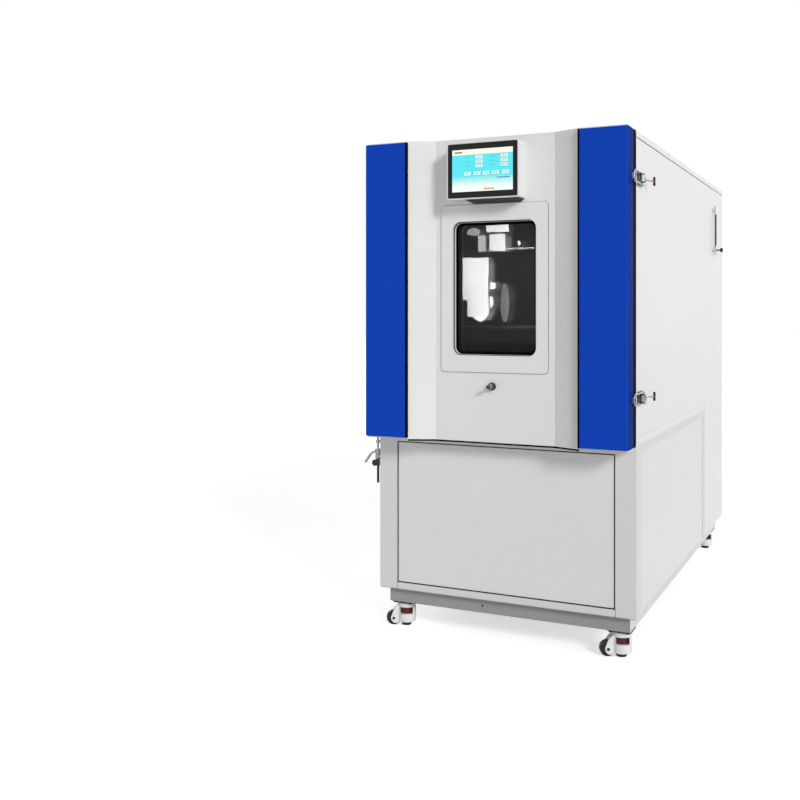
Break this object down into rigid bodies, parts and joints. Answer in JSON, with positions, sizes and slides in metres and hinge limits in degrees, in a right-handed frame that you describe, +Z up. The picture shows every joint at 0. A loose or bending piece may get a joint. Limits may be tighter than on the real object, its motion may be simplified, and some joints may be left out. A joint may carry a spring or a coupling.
{
  "type": "climate test chamber",
  "caption": "Free-standing climate test chamber: hinged door with window and touch panel, toggle latches, drain and gauge taps, levelling casters.",
  "frame": {"origin": "centre of the bounding box at floor level, under the levelling feet", "axes": "+X to the right seen from the front, +Y from the front to the rear, +Z up; the door faces -Y"},
  "size_m": [0.992, 1.91, 1.64],
  "materials": {
    "painted_white": "satin",
    "painted_blue": "satin",
    "stainless": "satin",
    "foam": "matte",
    "rubber": "matte",
    "window_paint": "satin",
    "glass": "gloss",
    "black_glass": "gloss",
    "display": "gloss",
    "chrome": "polished",
    "hinge_steel": "satin",
    "motor_black": "satin",
    "aluminium": "satin",
    "tank_plastic": "satin",
    "box_steel": "satin",
    "black_plastic": "satin",
    "caster_steel": "satin",
    "nylon_black": "satin",
    "red_plastic": "satin",
    "foot_rubber": "matte"
  },
  "bodies": {
    "cabinet": {"frame": "painted_white", "lower_panels": "painted_white", "side_skins": "painted_white", "rear_panel": "painted_white", "top_cover": "painted_white", "cabinet_insulation": "foam", "inner_liner": "stainless", "shelf": "stainless", "air_baffle": "stainless", "fan_motor": "motor_black", "coils": "aluminium", "chamber_lamp": "glass", "refrigeration_unit": "motor_black", "water_tank": "tank_plastic", "electrical_box": "box_steel", "humidifier": "stainless", "test_port": "stainless", "hinge_cabinet_side": "hinge_steel", "latch_bases": "chrome", "drain_valve": "chrome", "level_gauge": "chrome", "caster_plates": "hinge_steel"},
    "door": {"door_front_skin": "painted_white", "door_side_skins": "painted_blue", "door_inner_pan": "stainless", "door_insulation": "foam", "door_gasket": "rubber", "window_frame": "window_paint", "window_panes": "glass", "touch_housing": "painted_white", "touch_bezel": "black_glass", "touch_screen": "display", "lock_body": "chrome", "hinge_door_side": "hinge_steel", "latch_keepers": "chrome"},
    "lock_core": {"lock_core": "chrome"},
    "fan": {"fan_impeller": "stainless"},
    "drain_lever": {"drain_lever": "black_plastic"},
    "gauge_cock": {"gauge_cock": "black_plastic"},
    "latch_handle_upper": {"latch_handle_upper": "chrome"},
    "latch_hook_upper": {"latch_hook_upper": "chrome"},
    "latch_handle_lower": {"latch_handle_lower": "chrome"},
    "latch_hook_lower": {"latch_hook_lower": "chrome"},
    "caster_front_right": {"caster_housing_front_right": "caster_steel"},
    "wheel_front_right": {"caster_wheel_front_right": "nylon_black"},
    "dial_front_right": {"caster_dial_front_right": "red_plastic"},
    "foot_front_right": {"caster_foot_front_right": "foot_rubber"},
    "caster_front_left": {"caster_housing_front_left": "caster_steel"},
    "wheel_front_left": {"caster_wheel_front_left": "nylon_black"},
    "dial_front_left": {"caster_dial_front_left": "red_plastic"},
    "foot_front_left": {"caster_foot_front_left": "foot_rubber"},
    "caster_rear_right": {"caster_housing_rear_right": "caster_steel"},
    "wheel_rear_right": {"caster_wheel_rear_right": "nylon_black"},
    "dial_rear_right": {"caster_dial_rear_right": "red_plastic"},
    "foot_rear_right": {"caster_foot_rear_right": "foot_rubber"},
    "caster_rear_left": {"caster_housing_rear_left": "caster_steel"},
    "wheel_rear_left": {"caster_wheel_rear_left": "nylon_black"},
    "dial_rear_left": {"caster_dial_rear_left": "red_plastic"},
    "foot_rear_left": {"caster_foot_rear_left": "foot_rubber"}
  },
  "joints": [
    {"name": "door_swing", "type": "hinge", "parent": "cabinet", "child": "door", "pos_m": [-0.43699, -0.833, 1.158], "axis": [0, 0, -1], "range_deg": [0, 120]},
    {"name": "lock_turn", "type": "hinge", "parent": "door", "child": "lock_core", "pos_m": [0.00901, -0.89, 0.845], "axis": [0, 1, 0], "range_deg": [0, 90]},
    {"name": "fan_spin", "type": "hinge", "parent": "cabinet", "child": "fan", "pos_m": [0.01501, -0.125, 1.29], "axis": [0, 1, 0], "continuous": true},
    {"name": "latch_upper", "type": "hinge", "parent": "cabinet", "child": "latch_handle_upper", "pos_m": [0.46501, -0.799, 1.493], "axis": [0, 0, -1], "range_deg": [0, 150]},
    {"name": "hook_upper", "type": "hinge", "parent": "latch_handle_upper", "child": "latch_hook_upper", "pos_m": [0.46501, -0.781, 1.493], "axis": [0, 0, -1], "range_deg": [-173, 0]},
    {"name": "latch_lower", "type": "hinge", "parent": "cabinet", "child": "latch_handle_lower", "pos_m": [0.46501, -0.799, 0.817], "axis": [0, 0, -1], "range_deg": [0, 150]},
    {"name": "hook_lower", "type": "hinge", "parent": "latch_handle_lower", "child": "latch_hook_lower", "pos_m": [0.46501, -0.781, 0.817], "axis": [0, 0, -1], "range_deg": [-173, 0]},
    {"name": "drain_lever_turn", "type": "hinge", "parent": "cabinet", "child": "drain_lever", "pos_m": [-0.44299, -0.803, 0.564], "axis": [0, 1, 0], "range_deg": [0, 90]},
    {"name": "gauge_cock_turn", "type": "hinge", "parent": "cabinet", "child": "gauge_cock", "pos_m": [0.46601, 0.665, 1.35], "axis": [1, 0, 0], "range_deg": [0, 90]},
    {"name": "swivel_front_right", "type": "hinge", "parent": "cabinet", "child": "caster_front_right", "pos_m": [0.38901, -0.748, 0.08], "axis": [0, 0, 1], "continuous": true},
    {"name": "roll_front_right", "type": "hinge", "parent": "caster_front_right", "child": "wheel_front_right", "pos_m": [0.34882, -0.7659, 0.0255], "axis": [0.4067, -0.9135, 0], "continuous": true},
    {"name": "dial_turn_front_right", "type": "hinge", "parent": "caster_front_right", "child": "dial_front_right", "pos_m": [0.38901, -0.748, 0.0425], "axis": [0, 0, 1], "range_deg": [-1438, 1978]},
    {"name": "foot_screw_front_right", "type": "slide", "parent": "caster_front_right", "child": "foot_front_right", "axis": [0, 0, 1], "range_m": [-0.008, 0.011]},
    {"name": "swivel_front_left", "type": "hinge", "parent": "cabinet", "child": "caster_front_left", "pos_m": [-0.35899, -0.748, 0.08], "axis": [0, 0, 1], "continuous": true},
    {"name": "roll_front_left", "type": "hinge", "parent": "caster_front_left", "child": "wheel_front_left", "pos_m": [-0.39918, -0.7659, 0.0255], "axis": [0.4067, -0.9135, 0], "continuous": true},
    {"name": "dial_turn_front_left", "type": "hinge", "parent": "caster_front_left", "child": "dial_front_left", "pos_m": [-0.35899, -0.748, 0.0425], "axis": [0, 0, 1], "range_deg": [-1438, 1978]},
    {"name": "foot_screw_front_left", "type": "slide", "parent": "caster_front_left", "child": "foot_front_left", "axis": [0, 0, 1], "range_m": [-0.008, 0.011]},
    {"name": "swivel_rear_right", "type": "hinge", "parent": "cabinet", "child": "caster_rear_right", "pos_m": [0.38901, 0.87, 0.08], "axis": [0, 0, 1], "continuous": true},
    {"name": "roll_rear_right", "type": "hinge", "parent": "caster_rear_right", "child": "wheel_rear_right", "pos_m": [0.34882, 0.8521, 0.0255], "axis": [0.4067, -0.9135, 0], "continuous": true},
    {"name": "dial_turn_rear_right", "type": "hinge", "parent": "caster_rear_right", "child": "dial_rear_right", "pos_m": [0.38901, 0.87, 0.0425], "axis": [0, 0, 1], "range_deg": [-1438, 1978]},
    {"name": "foot_screw_rear_right", "type": "slide", "parent": "caster_rear_right", "child": "foot_rear_right", "axis": [0, 0, 1], "range_m": [-0.008, 0.011]},
    {"name": "swivel_rear_left", "type": "hinge", "parent": "cabinet", "child": "caster_rear_left", "pos_m": [-0.35899, 0.87, 0.08], "axis": [0, 0, 1], "continuous": true},
    {"name": "roll_rear_left", "type": "hinge", "parent": "caster_rear_left", "child": "wheel_rear_left", "pos_m": [-0.39918, 0.8521, 0.0255], "axis": [0.4067, -0.9135, 0], "continuous": true},
    {"name": "dial_turn_rear_left", "type": "hinge", "parent": "caster_rear_left", "child": "dial_rear_left", "pos_m": [-0.35899, 0.87, 0.0425], "axis": [0, 0, 1], "range_deg": [-1438, 1978]},
    {"name": "foot_screw_rear_left", "type": "slide", "parent": "caster_rear_left", "child": "foot_rear_left", "axis": [0, 0, 1], "range_m": [-0.008, 0.011]}
  ],
  "couplings": [
    {"joint": "hook_upper", "follows": "latch_upper", "ratio": -1.15},
    {"joint": "hook_lower", "follows": "latch_lower", "ratio": -1.15},
    {"joint": "foot_screw_front_right", "follows": "dial_turn_front_right", "m_per_rad": 0.00031831},
    {"joint": "foot_screw_front_left", "follows": "dial_turn_front_left", "m_per_rad": 0.00031831},
    {"joint": "foot_screw_rear_right", "follows": "dial_turn_rear_right", "m_per_rad": 0.00031831},
    {"joint": "foot_screw_rear_left", "follows": "dial_turn_rear_left", "m_per_rad": 0.00031831}
  ]
}
